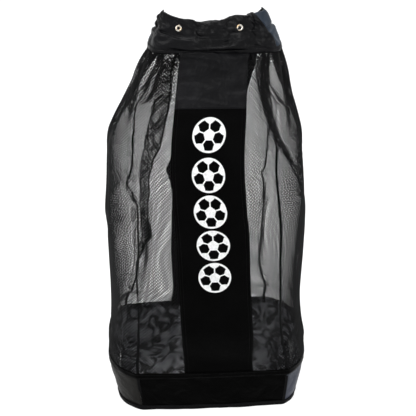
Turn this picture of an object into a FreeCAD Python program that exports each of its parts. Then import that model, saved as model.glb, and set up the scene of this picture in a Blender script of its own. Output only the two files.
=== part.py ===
import FreeCAD, Part
import os
import re
import Sketcher

# A mesh ball bag: a coated base and boot, mesh walls with a solid strip down the
# front and the back, and a gathered collar with two eyelets for a drawcord.
# Millimetres. +Z is up, -Y is the front, and the origin is the centre of the
# underside, on the surface that the bag stands on.

doc = FreeCAD.newDocument("mesh_ball_bag")

# ---------------------------------------------------------------- driving sizes

SIZES = {
    # cross-sections of the wall, from the floor up: outside width and depth,
    # corner radius, and how far the section's middle stands to the right
    "base_width": 400,
    "base_depth": 345,
    "base_corner": 90,
    "rim_width": 440,
    "rim_depth": 380,
    "rim_corner": 130,
    "belly_width": 447,
    "belly_depth": 410,
    "belly_corner": 185,
    "shoulder_width": 416,
    "shoulder_depth": 330,
    "shoulder_corner": 150,
    "shoulder_shift": 4,
    "throat_width": 362,
    "throat_depth": 220,
    "throat_corner": 105,
    "throat_shift": 10,
    "neck_width": 290,
    "neck_depth": 80,
    "neck_corner": 38,
    "neck_shift": 20,
    "mouth_width": 250,
    "mouth_shift": 17,
    # heights, each measured up from the section below
    "boot_height": 98,
    "belly_rise": 202,
    "belly_run": 260,
    "shoulder_rise": 90,
    "throat_rise": 70,
    "neck_rise": 92,
    "collar_height": 88,
    # cloth
    "base_thick": 3,
    "wall_thick": 2.5,
    "layer_thick": 1.5,
    "tape_thick": 1,
    "film_thick": 0.4,
    "neck_gap": 0.4,
    # seams, strips and tapes
    "strip_width": 160,
    "strip_seam_rise": 622,
    "strip_seam_clear": 12,
    "seam_slope": 0.52,
    "tape_width": 8,
    "binding_height": 11,
    "binding_lift": 1,
    "hem_height": 14,
    "neck_tape_height": 16,
    "cutter_reach": 400,
    # eyelets
    "eyelet_spacing": 132,
    "eyelet_shift": 7,
    "eyelet_rise": 50,
    "eyelet_bore": 3.5,
    "eyelet_barrel": 4.4,
    "eyelet_flange": 7,
    "eyelet_lip": 0.8,
    "eyelet_hole_gap": 0.1,
    # printed ball signs on the front strip
    "sign_radius": 36,
    "sign_line": 5,
    "sign_patch": 11,
    "sign_pitch": 77,
    "sign_first_rise": 262,
}
SIGN_COUNT = 5

sizes = doc.addObject("Spreadsheet::Sheet", "sizes")
for row, (alias, value) in enumerate(SIZES.items(), start=1):
    sizes.set(f"A{row}", alias)
    sizes.set(f"B{row}", str(value))
    sizes.setAlias(f"B{row}", alias)
doc.recompute()


def cell_of(word):
    return f"sizes.{word}" if word in SIZES else word


def named(formula):
    """The formula with each size's name turned into its cell in the sheet."""
    return re.sub(r"[a-z_]+", lambda word: cell_of(word.group()), formula)


RIM = "boot_height"
BELLY_LOW = RIM + " + belly_rise"
BELLY_TOP = BELLY_LOW + " + belly_run"
SHOULDER = BELLY_TOP + " + shoulder_rise"
THROAT = SHOULDER + " + throat_rise"
NECK = THROAT + " + neck_rise"
COLLAR_LOW = NECK + " + neck_gap"
MOUTH = NECK + " + collar_height"

# height, the sizes' own prefix for width, depth and corner, and sideways shift
WALL_SECTIONS = [
    ("0", "base", "0"),
    (RIM, "rim", "0"),
    (BELLY_LOW, "belly", "0"),
    (BELLY_TOP, "belly", "0"),
    (SHOULDER, "shoulder", "shoulder_shift"),
    (THROAT, "throat", "throat_shift"),
    (NECK, "neck", "neck_shift"),
]

# ---------------------------------------------------------------- building blocks


def bind(thing, prop, formula):
    thing.setExpression(prop, named(formula))


def origin_plane(body, role):
    return next(p for p in body.Origin.OriginFeatures if p.Role == role)


def rounded_sketch(body, name, height, width, depth, corner, shift, grow):
    """A rounded rectangle at a height: one cross-section, grown outward all round."""
    sketch = body.newObject("Sketcher::SketchObject", name)
    sketch.AttachmentSupport = [(origin_plane(body, "XY_Plane"), "")]
    sketch.MapMode = "FlatFace"
    bind(sketch, ".AttachmentOffset.Base.z", height)

    right = f"( {width} ) / 2 + ( {shift} ) + {grow}"
    left = f"( {width} ) / 2 - ( {shift} ) + {grow}"
    half_depth = f"( {depth} ) / 2 + {grow}"
    # the corner never takes up the whole of a side
    radius = f"min({corner}; {depth} / 2 - 2; {width} / 2 - 2) + {grow}"
    east, west, north, r = (
        float(sketch.evalExpression(named(formula)))
        for formula in (right, left, half_depth, radius)
    )

    outline = [
        ((-west + r, -north), (east - r, -north), (east - r, -north + r), -90),
        ((east, -north + r), (east, north - r), (east - r, north - r), 0),
        ((east - r, north), (-west + r, north), (-west + r, north - r), 90),
        ((-west, north - r), (-west, -north + r), (-west + r, -north + r), 180),
    ]
    up = FreeCAD.Vector(0, 0, 1)
    for start, end, centre, turn in outline:
        line = Part.LineSegment(FreeCAD.Vector(*start, 0), FreeCAD.Vector(*end, 0))
        circle = Part.Circle(FreeCAD.Vector(*centre, 0), up, r)
        first = FreeCAD.Units.Quantity(turn, FreeCAD.Units.Angle).getValueAs("rad").Value
        quarter = FreeCAD.Units.Quantity(90, FreeCAD.Units.Angle).getValueAs("rad").Value
        sketch.addGeometry(line)
        sketch.addGeometry(Part.ArcOfCircle(circle, first, first + quarter))

    for edge in range(8):
        sketch.addConstraint(Sketcher.Constraint("Tangent", edge, 2, (edge + 1) % 8, 1))
    for arc in (3, 5, 7):
        sketch.addConstraint(Sketcher.Constraint("Equal", 1, arc))
    sketch.addConstraint(Sketcher.Constraint("Horizontal", 0))
    sketch.addConstraint(Sketcher.Constraint("Horizontal", 4))
    sketch.addConstraint(Sketcher.Constraint("Vertical", 2))
    sketch.addConstraint(Sketcher.Constraint("Vertical", 6))
    driving = [
        (Sketcher.Constraint("Radius", 1, r), radius),
        (Sketcher.Constraint("DistanceX", -1, 1, 2, 1, east), right),
        (Sketcher.Constraint("DistanceX", 6, 1, -1, 1, west), left),
        (Sketcher.Constraint("DistanceY", 0, 1, -1, 1, north), half_depth),
        (Sketcher.Constraint("DistanceY", -1, 1, 4, 1, north), half_depth),
    ]
    for constraint, formula in driving:
        index = sketch.addConstraint(constraint)
        bind(sketch, f"Constraints[{index}]", formula)
    return sketch


def lofted_form(name, sections, grow, ruled=False):
    """A solid through the cross-sections, the whole outline grown outward by grow."""
    body = doc.addObject("PartDesign::Body", name)
    sketches = [
        rounded_sketch(body, f"{name}_{number}", *section, grow)
        for number, section in enumerate(sections)
    ]
    loft = body.newObject("PartDesign::AdditiveLoft", f"{name}_loft")
    loft.Profile = sketches[0]
    loft.Sections = [(sketch, [""]) for sketch in sketches[1:]]
    loft.Ruled = ruled
    body.Tip = loft
    return body


def between(name, outside, inside):
    """The cloth layer that lies between two forms."""
    layer = doc.addObject("Part::Cut", name)
    layer.Base = outside
    layer.Tool = inside
    return layer


def region(name, front, back, depth, low, high, turn=0):
    """A block to cut a layer with: its sides at the front and at the back, its depth and its heights."""
    block = doc.addObject("Part::Wedge", name)
    for prop, formula in zip(("Xmin", "Xmax"), front):
        bind(block, prop, formula)
    for prop, formula in zip(("X2min", "X2max"), back):
        bind(block, prop, formula)
    for prop, formula in zip(("Ymin", "Ymax"), depth):
        bind(block, prop, formula)
    for prop, formula in (("Zmin", low), ("Z2min", low), ("Zmax", high), ("Z2max", high)):
        bind(block, prop, formula)
    block.Placement.Rotation = FreeCAD.Rotation(FreeCAD.Vector(0, 0, 1), turn)
    return block


NODES = []


def node(piece, label):
    """Marks an object as a finished sub-part and gives it its name."""
    piece.Label = label
    NODES.append(piece)
    return piece


def cut_piece(label, layer, block):
    """The stretch of a layer that lies in a block, as a finished sub-part."""
    piece = doc.addObject("Part::Common", f"{label}_piece")
    piece.Base = layer
    piece.Tool = block
    return node(piece, label)


def minus(piece, tool, name):
    cut = doc.addObject("Part::Cut", name)
    cut.Base = piece
    cut.Tool = tool
    return cut


def wall_sections():
    return [
        (height, f"{prefix}_width", f"{prefix}_depth", f"{prefix}_corner", shift)
        for height, prefix, shift in WALL_SECTIONS
    ]


# ---------------------------------------------------------------- forms and layers

wall_out = lofted_form("wall_out", wall_sections(), "0")
wall_in = lofted_form("wall_in", wall_sections(), "( 0 - wall_thick )")
tape_out = lofted_form("tape_out", wall_sections(), "tape_thick")
film_out = lofted_form("film_out", wall_sections(), "film_thick")

wall_layer = between("wall_layer", wall_out, wall_in)
tape_layer = between("tape_layer", tape_out, wall_out)
film_layer = between("film_layer", film_out, wall_out)

# ---------------------------------------------------------------- where the seams run

# The corner seams leave the middle line beside the strips and spread outward, so
# that they meet the corners of the base and the folded ends of the collar.
STRIP_HALF = "strip_width / 2"
SEAM_NEAR = "( strip_width / 2 + strip_seam_clear )"
SEAM_FAR = "( strip_width / 2 + strip_seam_clear + seam_slope * cutter_reach )"
BACKWARD = "cutter_reach"
FORWARD = "( 0 - cutter_reach )"

FRONT_SECTOR = dict(
    front=(f"0 - {SEAM_FAR}", SEAM_FAR),
    back=(f"0 - {SEAM_NEAR}", SEAM_NEAR),
    depth=(FORWARD, "0"),
)
BACK_SECTOR = dict(
    front=(f"0 - {SEAM_NEAR}", SEAM_NEAR),
    back=(f"0 - {SEAM_FAR}", SEAM_FAR),
    depth=("0", BACKWARD),
)
# Turned a quarter, so its depth runs outward to one side of the bag. It starts 5 mm
# wide of the middle line, inside the hollow, where no cloth is.
SIDE_SECTOR = dict(
    front=("0 - 5", "5"),
    back=(FORWARD, BACKWARD),
    depth=(f"{SEAM_NEAR} + seam_slope * 5", SEAM_FAR),
)

# ---------------------------------------------------------------- base and boot

base_body = doc.addObject("PartDesign::Body", "base_body")
base_outline = rounded_sketch(
    base_body, "base_outline", "0", "base_width", "base_depth", "base_corner", "0", "0"
)
base_pad = base_body.newObject("PartDesign::Pad", "base_pad")
base_pad.Profile = base_outline
bind(base_pad, "Length", "base_thick")
node(base_body, "base_panel")

BOOT = dict(low="base_thick", high=RIM)
cut_piece("boot_front", wall_layer, region("boot_front_cut", **FRONT_SECTOR, **BOOT))
cut_piece("boot_back", wall_layer, region("boot_back_cut", **BACK_SECTOR, **BOOT))
cut_piece("boot_left", wall_layer, region("boot_left_cut", **SIDE_SECTOR, **BOOT, turn=90))
cut_piece("boot_right", wall_layer, region("boot_right_cut", **SIDE_SECTOR, **BOOT, turn=-90))

# binding sewn round the base seam, and the turned hem along the boot's rim
ALL_ROUND = dict(
    front=(FORWARD, BACKWARD),
    back=(FORWARD, BACKWARD),
    depth=(FORWARD, BACKWARD),
)
BINDING_TOP = "binding_lift + binding_height"
HEM_LOW = "boot_height - hem_height"
cut_piece(
    "base_binding",
    tape_layer,
    region("base_binding_cut", **ALL_ROUND, low="binding_lift", high=BINDING_TOP),
)
cut_piece("rim_hem", tape_layer, region("rim_hem_cut", **ALL_ROUND, low=HEM_LOW, high=RIM))

# ---------------------------------------------------------------- mesh walls

MESH = dict(low=RIM, high=NECK)
cut_piece(
    "mesh_front_left",
    wall_layer,
    region(
        "mesh_front_left_cut",
        front=(f"0 - {SEAM_FAR}", f"0 - {STRIP_HALF}"),
        back=(f"0 - {SEAM_NEAR}", f"0 - {STRIP_HALF}"),
        depth=(FORWARD, "0"),
        **MESH,
    ),
)
cut_piece(
    "mesh_front_right",
    wall_layer,
    region(
        "mesh_front_right_cut",
        front=(STRIP_HALF, SEAM_FAR),
        back=(STRIP_HALF, SEAM_NEAR),
        depth=(FORWARD, "0"),
        **MESH,
    ),
)
cut_piece(
    "mesh_back_left",
    wall_layer,
    region(
        "mesh_back_left_cut",
        front=(f"0 - {SEAM_NEAR}", f"0 - {STRIP_HALF}"),
        back=(f"0 - {SEAM_FAR}", f"0 - {STRIP_HALF}"),
        depth=("0", BACKWARD),
        **MESH,
    ),
)
cut_piece(
    "mesh_back_right",
    wall_layer,
    region(
        "mesh_back_right_cut",
        front=(STRIP_HALF, SEAM_NEAR),
        back=(STRIP_HALF, SEAM_FAR),
        depth=("0", BACKWARD),
        **MESH,
    ),
)
cut_piece("mesh_left", wall_layer, region("mesh_left_cut", **SIDE_SECTOR, **MESH, turn=90))
cut_piece("mesh_right", wall_layer, region("mesh_right_cut", **SIDE_SECTOR, **MESH, turn=-90))

# ---------------------------------------------------------------- solid strips

STRIP_SEAM = "boot_height + strip_seam_rise"
STRIP_SIDES = dict(
    front=(f"0 - {STRIP_HALF}", STRIP_HALF),
    back=(f"0 - {STRIP_HALF}", STRIP_HALF),
)
for face, depth in (("front", (FORWARD, "0")), ("back", ("0", BACKWARD))):
    for part, low, high in (("lower", RIM, STRIP_SEAM), ("upper", STRIP_SEAM, NECK)):
        label = f"{face}_strip_{part}"
        block = region(f"{label}_cut", **STRIP_SIDES, depth=depth, low=low, high=high)
        cut_piece(label, wall_layer, block)

# ---------------------------------------------------------------- corner tapes

# Each tape covers one corner seam on the outside. The boot's stops between the
# base binding and the rim hem, and the wall's runs on up to the neck.
TAPE_HALF = "tape_width / 2"
for corner, side, turn_back in (
    ("front_left", -1, False),
    ("front_right", 1, False),
    ("back_left", -1, True),
    ("back_right", 1, True),
):
    near = f"{side} * {SEAM_NEAR}"
    far = f"{side} * {SEAM_FAR}"
    near_sides = (f"{near} - {TAPE_HALF}", f"{near} + {TAPE_HALF}")
    far_sides = (f"{far} - {TAPE_HALF}", f"{far} + {TAPE_HALF}")
    if turn_back:
        sides = dict(front=near_sides, back=far_sides, depth=("0", BACKWARD))
    else:
        sides = dict(front=far_sides, back=near_sides, depth=(FORWARD, "0"))
    for part, low, high in (("boot", BINDING_TOP, HEM_LOW), ("wall", RIM, NECK)):
        label = f"{part}_tape_{corner}"
        cut_piece(label, tape_layer, region(f"{label}_cut", **sides, low=low, high=high))

# ---------------------------------------------------------------- printed ball signs

# Ink on the lower front strip: a column of plain round balls, each a ring with a
# patch in its middle.


def sign_cylinder(name, radius, rise):
    disc = doc.addObject("Part::Cylinder", name)
    bind(disc, "Radius", radius)
    bind(disc, "Height", "cutter_reach")
    disc.Placement.Rotation = FreeCAD.Rotation(FreeCAD.Vector(1, 0, 0), 90)
    bind(disc, ".Placement.Base.z", rise)
    return disc


signs = []
for number in range(SIGN_COUNT):
    rise = f"boot_height + sign_first_rise + {number} * sign_pitch"
    rim = sign_cylinder(f"sign_rim_{number}", "sign_radius", rise)
    hole = sign_cylinder(f"sign_hole_{number}", "sign_radius - sign_line", rise)
    signs.append(minus(rim, hole, f"sign_ring_{number}"))
    signs.append(sign_cylinder(f"sign_patch_{number}", "sign_patch", rise))
sign_shapes = doc.addObject("Part::MultiFuse", "sign_shapes")
sign_shapes.Shapes = signs
cut_piece("front_print", film_layer, sign_shapes)

# ---------------------------------------------------------------- collar

# Two layers, turned over at the mouth to make the drawcord's channel, sewn to the
# gathered top of the walls. Its front stands upright, so the eyelets look forward.
COLLAR_SECTIONS = [
    (COLLAR_LOW, "neck_width", "neck_depth", "neck_corner", "neck_shift"),
    (MOUTH, "mouth_width", "neck_depth", "neck_corner", "mouth_shift"),
]
collar_tape_out = lofted_form("collar_tape_out", COLLAR_SECTIONS, "tape_thick", ruled=True)
collar_out = lofted_form("collar_out", COLLAR_SECTIONS, "0", ruled=True)
collar_mid = lofted_form("collar_mid", COLLAR_SECTIONS, "( 0 - layer_thick )", ruled=True)
collar_in = lofted_form("collar_in", COLLAR_SECTIONS, "( 0 - 2 * layer_thick )", ruled=True)

shell_layer = between("shell_layer", collar_out, collar_mid)
facing_layer = between("facing_layer", collar_mid, collar_in)
neck_tape_layer = between("neck_tape_layer", collar_tape_out, collar_out)

EYELET_HEIGHT = NECK + " + eyelet_rise"
EYELET_SIDES = {"left": "eyelet_shift - eyelet_spacing / 2", "right": "eyelet_shift + eyelet_spacing / 2"}


def eyelet_drill(name, across):
    """A straight drill through the front of the collar at one eyelet."""
    drill = doc.addObject("Part::Cylinder", name)
    bind(drill, "Radius", "eyelet_barrel + eyelet_hole_gap")
    bind(drill, "Height", "neck_depth")
    drill.Placement.Rotation = FreeCAD.Rotation(FreeCAD.Vector(1, 0, 0), 90)
    bind(drill, ".Placement.Base.x", across)
    bind(drill, ".Placement.Base.z", EYELET_HEIGHT)
    return drill


eyelet_drills = doc.addObject("Part::MultiFuse", "eyelet_drills")
eyelet_drills.Shapes = [
    eyelet_drill(f"eyelet_drill_{side}", across) for side, across in EYELET_SIDES.items()
]

COLLAR_SPAN = dict(low=COLLAR_LOW, high=MOUTH)
FRONT_HALF = dict(
    front=(FORWARD, BACKWARD),
    back=(FORWARD, BACKWARD),
    depth=(FORWARD, "0"),
)
BACK_HALF = dict(
    front=(FORWARD, BACKWARD),
    back=(FORWARD, BACKWARD),
    depth=("0", BACKWARD),
)
drilled_shell = minus(shell_layer, eyelet_drills, "drilled_shell")
drilled_facing = minus(facing_layer, eyelet_drills, "drilled_facing")
for label, layer, half in (
    ("collar_front", drilled_shell, FRONT_HALF),
    ("collar_back", drilled_shell, BACK_HALF),
    ("facing_front", drilled_facing, FRONT_HALF),
    ("facing_back", drilled_facing, BACK_HALF),
):
    cut_piece(label, layer, region(f"{label}_cut", **half, **COLLAR_SPAN))

cut_piece(
    "neck_tape",
    neck_tape_layer,
    region("neck_tape_cut", **ALL_ROUND, low=COLLAR_LOW, high=COLLAR_LOW + " + neck_tape_height"),
)

# ---------------------------------------------------------------- eyelets

# A flanged barrel set from the outside and a washer under its other end. Each is
# turned about its own axis and then laid over, so that the axis points forward.


def ring_profile(body, name, points):
    """A closed profile in the XZ plane: each point is (radius, place along the axis)."""
    sketch = body.newObject("Sketcher::SketchObject", name)
    sketch.AttachmentSupport = [(origin_plane(body, "XZ_Plane"), "")]
    sketch.MapMode = "FlatFace"
    at = [
        tuple(float(sketch.evalExpression(named(formula))) for formula in point)
        for point in points
    ]
    count = len(points)
    for number in range(count):
        start = FreeCAD.Vector(*at[number], 0)
        end = FreeCAD.Vector(*at[(number + 1) % count], 0)
        sketch.addGeometry(Part.LineSegment(start, end))
    for number in range(count):
        joint = Sketcher.Constraint("Coincident", number, 2, (number + 1) % count, 1)
        sketch.addConstraint(joint)
    for number, (radius, along) in enumerate(points):
        across = Sketcher.Constraint("DistanceX", -1, 1, number, 1, at[number][0])
        bind(sketch, f"Constraints[{sketch.addConstraint(across)}]", radius)
        if at[number][1] == 0:
            sketch.addConstraint(Sketcher.Constraint("PointOnObject", number, 1, -1))
        elif at[number][1] > 0:
            rise = Sketcher.Constraint("DistanceY", -1, 1, number, 1, at[number][1])
            bind(sketch, f"Constraints[{sketch.addConstraint(rise)}]", along)
        else:
            drop = Sketcher.Constraint("DistanceY", number, 1, -1, 1, -at[number][1])
            bind(sketch, f"Constraints[{sketch.addConstraint(drop)}]", f"0 - ( {along} )")
    return sketch


def turned_ring(label, points, across):
    """A ring turned from its profile, laid so that its own up points to the front."""
    body = doc.addObject("PartDesign::Body", f"{label}_body")
    profile = ring_profile(body, f"{label}_profile", points)
    turned = body.newObject("PartDesign::Revolution", f"{label}_turned")
    turned.Profile = profile
    turned.ReferenceAxis = (profile, ["V_Axis"])
    turned.Angle = 360
    body.Placement.Rotation = FreeCAD.Rotation(FreeCAD.Vector(1, 0, 0), 90)
    bind(body, ".Placement.Base.x", across)
    bind(body, ".Placement.Base.y", "0 - neck_depth / 2")
    bind(body, ".Placement.Base.z", EYELET_HEIGHT)
    return node(body, label)


INSIDE = "0 - 2 * layer_thick"
BARREL_PROFILE = [
    ("eyelet_bore", f"{INSIDE} - eyelet_lip"),
    ("eyelet_barrel", f"{INSIDE} - eyelet_lip"),
    ("eyelet_barrel", "0"),
    ("eyelet_flange", "0"),
    ("eyelet_flange", "eyelet_lip / 2"),
    ("eyelet_flange - eyelet_lip", "eyelet_lip"),
    ("eyelet_bore", "eyelet_lip"),
]
WASHER_PROFILE = [
    ("eyelet_barrel", f"{INSIDE} - eyelet_lip"),
    ("eyelet_flange", f"{INSIDE} - eyelet_lip"),
    ("eyelet_flange", INSIDE),
    ("eyelet_barrel", INSIDE),
]
for side, across in EYELET_SIDES.items():
    turned_ring(f"eyelet_{side}", BARREL_PROFILE, across)
    turned_ring(f"washer_{side}", WASHER_PROFILE, across)

# ---------------------------------------------------------------- check and write

doc.recompute()
faults = [
    f"{thing.Label}: {state}"
    for thing in doc.Objects
    for state in thing.State
    if state in ("Invalid", "Error")
]
for piece in NODES:
    if piece.Shape.isNull() or not piece.Shape.isValid() or not piece.Shape.Solids:
        faults.append(f"{piece.Label}: no valid solid")
if faults:
    raise RuntimeError("; ".join(faults))

os.makedirs("parts", exist_ok=True)
for piece in NODES:
    piece.Shape.exportStep(f"parts/{piece.Label}.step")
    print(piece.Label, len(piece.Shape.Solids), round(piece.Shape.Volume))
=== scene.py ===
import math

import bpy
import numpy as np
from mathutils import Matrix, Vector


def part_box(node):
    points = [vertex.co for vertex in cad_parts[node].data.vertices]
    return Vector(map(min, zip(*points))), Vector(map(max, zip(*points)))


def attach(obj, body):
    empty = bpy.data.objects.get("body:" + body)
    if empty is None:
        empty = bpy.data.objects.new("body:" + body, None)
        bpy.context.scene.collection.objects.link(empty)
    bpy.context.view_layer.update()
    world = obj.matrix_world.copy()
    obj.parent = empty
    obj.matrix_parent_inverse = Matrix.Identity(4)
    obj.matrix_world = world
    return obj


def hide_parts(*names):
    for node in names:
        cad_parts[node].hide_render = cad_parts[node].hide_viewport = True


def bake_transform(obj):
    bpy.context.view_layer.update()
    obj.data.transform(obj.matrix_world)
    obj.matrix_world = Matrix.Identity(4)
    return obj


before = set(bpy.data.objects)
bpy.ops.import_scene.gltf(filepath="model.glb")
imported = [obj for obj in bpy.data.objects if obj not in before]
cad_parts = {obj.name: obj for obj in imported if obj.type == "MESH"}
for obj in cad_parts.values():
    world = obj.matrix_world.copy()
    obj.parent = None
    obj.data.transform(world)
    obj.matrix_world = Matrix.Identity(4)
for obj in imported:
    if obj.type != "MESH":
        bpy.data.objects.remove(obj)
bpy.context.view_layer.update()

# ---- Room and camera -----------------------------------------------------------
# A pale seamless floor under soft studio light, seen from a little above the bag's
# front. The floor keeps the bag's shadow and looks white to the camera.


def srgb(hex_colour):
    """A colour written as on a chart, in the linear values that a shader takes."""
    parts = [int(hex_colour[i : i + 2], 16) / 255 for i in (1, 3, 5)]
    return [p / 12.92 if p <= 0.04045 else ((p + 0.055) / 1.055) ** 2.4 for p in parts] + [1.0]


def add(tree, kind, links=(), **settings):
    """One node with its settings and links: each link is (its own input, another node's output)."""
    node = tree.nodes.new(kind)
    for name, value in settings.items():
        if name.startswith("in_"):
            key = name[3:]
            node.inputs[int(key) if key.isdigit() else key.replace("_", " ")].default_value = value
        else:
            setattr(node, name, value)
    for socket, output in links:
        tree.links.new(output, node.inputs[socket])
    return node


def empty_material(name):
    material = bpy.data.materials.new(name)
    material.use_nodes = True
    material.node_tree.nodes.clear()
    return material, material.node_tree


def shown_white(tree, kinds):
    """One for the kinds of ray that see plain white, nought for the light that falls on the bag."""
    rays = add(tree, "ShaderNodeLightPath")
    shown = rays.outputs[kinds[0]]
    for kind in kinds[1:]:
        both = [(0, shown), (1, rays.outputs[kind])]
        shown = add(tree, "ShaderNodeMath", both, operation="MAXIMUM").outputs[0]
    return shown


bpy.context.scene.view_settings.view_transform = "Standard"

bpy.ops.object.select_all(action="DESELECT")
bpy.ops.mesh.primitive_plane_add(size=14, location=(0, 0, 0))
floor = bpy.context.object
floor.name = "studio_floor"
paper, tree = empty_material("seamless_paper")
# bounced light comes off a plain pale floor; the camera sees it white, with the shadow over it
shadowed = add(tree, "ShaderNodeBsdfDiffuse", in_Color=srgb("#9a9a9a"))
white = add(tree, "ShaderNodeEmission", in_Color=(1, 1, 1, 1), in_Strength=0.86)
to_camera = add(tree, "ShaderNodeAddShader", [(0, shadowed.outputs[0]), (1, white.outputs[0])])
matte = add(tree, "ShaderNodeBsdfDiffuse", in_Color=srgb("#dedede"))
seen = shown_white(tree, ("Is Camera Ray", "Is Glossy Ray"))
paper_look = add(tree, "ShaderNodeMixShader", [(0, seen), (1, matte.outputs[0]), (2, to_camera.outputs[0])])
add(tree, "ShaderNodeOutputMaterial", [("Surface", paper_look.outputs[0])])
floor.data.materials.append(paper)

world = bpy.data.worlds.new("studio")
bpy.context.scene.world = world
world.use_nodes = True
tree = world.node_tree
tree.nodes.clear()
seen = shown_white(tree, ("Is Camera Ray", "Is Glossy Ray", "Is Transmission Ray"))
fill_light = add(tree, "ShaderNodeBackground", in_Color=(0.93, 0.96, 1.0, 1), in_Strength=0.55)
backdrop = add(tree, "ShaderNodeBackground", in_Color=(1, 1, 1, 1), in_Strength=1.0)
sky = add(tree, "ShaderNodeMixShader", [(0, seen), (1, fill_light.outputs[0]), (2, backdrop.outputs[0])])
add(tree, "ShaderNodeOutputWorld", [("Surface", sky.outputs[0])])

for name, place, aim, size, watts in (
    ("key_softbox", (-1.9, -2.3, 2.6), (0, 0, 0.45), 1.6, 62),
    ("side_softbox", (2.5, -1.5, 1.6), (0, 0, 0.45), 1.4, 30),
    ("top_softbox", (0.1, 0.9, 2.9), (0, 0, 0.5), 1.6, 40),
):
    lamp = bpy.data.lights.new(name, "AREA")
    lamp.energy = watts
    lamp.size = size
    holder = bpy.data.objects.new(name, lamp)
    holder.location = place
    bpy.context.collection.objects.link(holder)
    away = holder.location - Vector(aim)
    holder.rotation_euler = away.to_track_quat("Z", "Y").to_euler()

CAMERA_RISE = math.radians(25.5)
CAMERA_TURN = math.radians(-1.0)
CAMERA_AWAY = 4.2
CAMERA_AIM = Vector((0.0045, 0.0, 0.424))
CAMERA_SEES = 0.468  # from the middle of the view to its edge, at the bag
SENSOR = 36
eye = Vector(
    (
        math.sin(CAMERA_TURN) * math.cos(CAMERA_RISE),
        -math.cos(CAMERA_TURN) * math.cos(CAMERA_RISE),
        math.sin(CAMERA_RISE),
    )
)
lens = bpy.data.cameras.new("camera")
lens.sensor_width = SENSOR
lens.lens = SENSOR / 2 * CAMERA_AWAY / CAMERA_SEES
camera = bpy.data.objects.new("camera", lens)
camera.location = CAMERA_AIM + eye * CAMERA_AWAY
camera.rotation_euler = eye.to_track_quat("Z", "Y").to_euler()
bpy.context.collection.objects.link(camera)
bpy.context.scene.camera = camera

# ---- The cloth of the walls ----------------------------------------------------
# Boot, net and strips are sewn into one tube of the same girth all the way up. It
# stands on its base, fills out to a belly, and is gathered into the collar, so the
# spare girth lies in tucks. The tube is cut flat, folded into its tucks, and then
# let go as cloth, held still at the boot and at the collar.

GIRTH = 1.450  # round the net, once the side seams are sewn
RIM_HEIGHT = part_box("boot_front")[1][2]
NECK_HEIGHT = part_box("mesh_left")[1][2]
STRIP_HALF = 0.080
GRID = 0.0075

# outside of the walls, from the floor up: height, width, depth, corner, shift to the right
LEVELS = np.array(
    [
        (0.000, 0.398, 0.343, 0.085, 0.000),
        (RIM_HEIGHT, 0.442, 0.380, 0.125, 0.000),
        (0.230, 0.430, 0.402, 0.172, -0.002),
        (0.340, 0.438, 0.402, 0.188, -0.001),
        (0.450, 0.452, 0.398, 0.194, 0.001),
        (0.560, 0.450, 0.388, 0.190, -0.002),
        (0.620, 0.442, 0.352, 0.172, -0.002),
        (0.650, 0.424, 0.320, 0.152, 0.000),
        (0.685, 0.398, 0.275, 0.132, 0.004),
        (0.720, 0.369, 0.228, 0.108, 0.008),
        (0.765, 0.333, 0.150, 0.072, 0.013),
        (NECK_HEIGHT, 0.288, 0.078, 0.037, 0.018),
    ]
)
# where the four corner seams run, round the tube from the middle of the front strip
SEAM_U = {
    "front_left": -0.190,
    "front_right": 0.160,
    "back_right": GIRTH / 2 - 0.175,
    "back_left": 0.175 - GIRTH / 2,
}


def level_at(height):
    """Width, depth, corner and shift of the outline at a height, smooth through the levels."""
    z = LEVELS[:, 0]
    slopes = np.gradient(LEVELS[:, 1:], z, axis=0)
    k = int(np.clip(np.searchsorted(z, height) - 1, 0, len(z) - 2))
    h = z[k + 1] - z[k]
    t = min(max((height - z[k]) / h, 0), 1)
    return (
        (2 * t**3 - 3 * t**2 + 1) * LEVELS[k, 1:]
        + (t**3 - 2 * t**2 + t) * h * slopes[k]
        + (3 * t**2 - 2 * t**3) * LEVELS[k + 1, 1:]
        + (t**3 - t**2) * h * slopes[k + 1]
    )


def outline(width, depth, corner, shift):
    """A closed line round a rounded oblong, from the middle of the front to the right: its points, and
    the length along it to each."""
    corner = min(corner, depth / 2 - 0.001)
    across, along = width / 2 - corner, depth / 2 - corner
    points = [np.array([[shift, -depth / 2]])]
    centres = ((across, -along), (across, along), (-across, along), (-across, -along))
    for number, (x, y) in enumerate(centres):
        turn = np.linspace(number - 1, number, 25) * math.pi / 2
        points.append(np.column_stack([shift + x + corner * np.cos(turn), y + corner * np.sin(turn)]))
    line = np.vstack(points + [points[0]])
    return line, np.r_[0, np.cumsum(np.hypot(*np.diff(line, axis=0).T))]


# Small tucks: where each lies round the tube, how much girth it may take up, how far
# down it reaches (short and side ones fade below the shoulder), and which way it leans.
MIDDLE_BACK = GIRTH / 2
TUCKS = []
for side in (-1, 1):
    TUCKS.append((MIDDLE_BACK - side * 0.150, 0.112, "long", -side))
    for number in range(4):
        TUCKS.append((side * (0.300 + 0.066 * number), 0.064, "side" if number == 1 else "short", side))
# Two wide flat pleats beside the front strip: heights, then where each lies there and the
# girth that it takes up.
PLEATS = (
    (
        (0.200, 0.250, 0.330, 0.410, 0.440, 0.600, 0.812),
        (-0.190, -0.190, -0.190, -0.187, -0.184, -0.172, -0.147),
        (0.000, 0.004, 0.014, 0.030, 0.056, 0.076, 0.105),
    ),
    (
        (0.098, 0.250, 0.450, 0.520, 0.615, 0.700, 0.812),
        (0.300, 0.300, 0.300, 0.285, 0.235, 0.190, 0.165),
        (0.015, 0.020, 0.025, 0.050, 0.080, 0.095, 0.112),
    ),
)
STRIP_SLANT = 0.030  # the strip stands this far to the right at the boot, and straight at the collar
# a tuck is one wave of the cloth's direction: how steep it gets, and the share of its length it takes up
sine_angle = np.linspace(0, 2.15, 200)
one_wave = np.sin(np.linspace(0, 2 * math.pi, 400, False))
sine_taken = 1 - np.array([np.cos(angle * one_wave).mean() for angle in sine_angle])


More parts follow.
